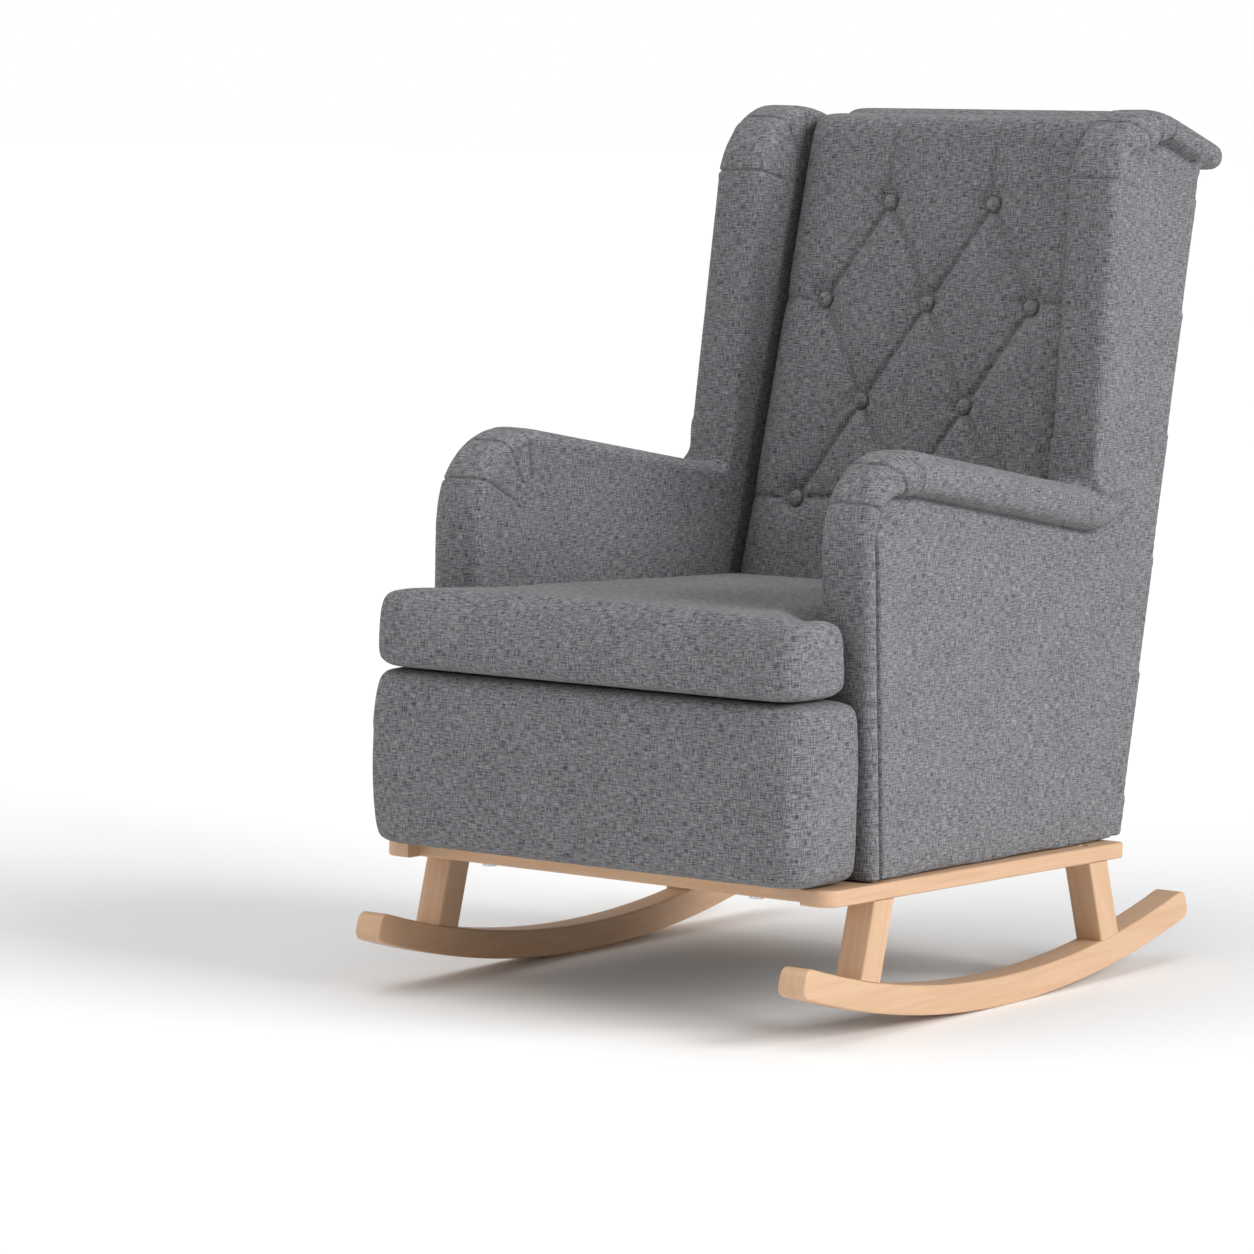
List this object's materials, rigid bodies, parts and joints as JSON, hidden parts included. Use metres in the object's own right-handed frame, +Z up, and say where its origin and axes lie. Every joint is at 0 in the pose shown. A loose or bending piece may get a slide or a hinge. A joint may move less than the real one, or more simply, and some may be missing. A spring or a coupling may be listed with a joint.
{
  "type": "rocking chair",
  "caption": "Upholstered wing rocking chair with rolled arms, a diamond-buttoned back, a loose T-shaped seat cushion and a beech rocker base.",
  "frame": {"origin": "middle of the chair's box, on the floor plane that the rockers stand on", "axes": "+X to the sitter's left, +Y towards the back (the chair faces -Y), +Z up"},
  "size_m": [0.632, 0.8824, 0.9985],
  "materials": {
    "beech": "clear satin lacquer",
    "frame_timber": "sawn, unfinished",
    "plywood": "sanded, unfinished",
    "upholstery": "mottled grey linen-look weave",
    "foam": "open-cell foam",
    "webbing": "woven elastic webbing",
    "dust_cloth": "spun non-woven cloth",
    "twine": "waxed twine",
    "zinc_plate": "bright zinc plate"
  },
  "bodies": {
    "chair": {"arm_facing_left": "upholstery", "arm_facing_right": "upholstery", "arm_inner_pad_left": "upholstery", "arm_inner_pad_right": "upholstery", "arm_outer_pad_left": "upholstery", "arm_outer_pad_right": "upholstery", "arm_roll_left": "upholstery", "arm_roll_right": "upholstery", "back_cushion": "upholstery", "back_post_left": "frame_timber", "back_post_right": "frame_timber", "back_rail_lower": "frame_timber", "back_rail_middle": "frame_timber", "back_rail_top": "frame_timber", "back_top_roll": "upholstery", "back_webbing": "webbing", "body_bolts": "zinc_plate", "button_ties": "twine", "corner_blocks": "frame_timber", "cross_rail_front": "beech", "cross_rail_rear": "beech", "deck_foam": "foam", "dust_cover": "dust_cloth", "leg_front_left": "beech", "leg_front_right": "beech", "leg_rear_left": "beech", "leg_rear_right": "beech", "leg_screws": "zinc_plate", "outer_back": "upholstery", "rail_dowels": "beech", "rocker_left": "beech", "rocker_right": "beech", "rocker_screws": "zinc_plate", "seat_apron": "upholstery", "seat_board_front": "frame_timber", "seat_board_rear": "frame_timber", "seat_board_side_left": "frame_timber", "seat_board_side_right": "frame_timber", "seat_deck": "upholstery", "seat_webbing": "webbing", "side_board_left": "plywood", "side_board_right": "plywood", "side_rail_left": "beech", "side_rail_right": "beech", "tee_nuts": "zinc_plate", "tufting_buttons": "upholstery", "wing_facing_left": "upholstery", "wing_facing_right": "upholstery", "wing_inner_pad_left": "upholstery", "wing_inner_pad_right": "upholstery", "wing_outer_pad_left": "upholstery", "wing_outer_pad_right": "upholstery", "wing_roll_left": "upholstery", "wing_roll_right": "upholstery"},
    "loose_cushion": {"seat_cushion": "upholstery"}
  },
  "joints": [
    {"name": "seat_cushion_slide", "type": "slide", "parent": "chair", "child": "loose_cushion", "axis": [0, -0.9997, 0.0238], "range_m": [0, 0.56]}
  ]
}
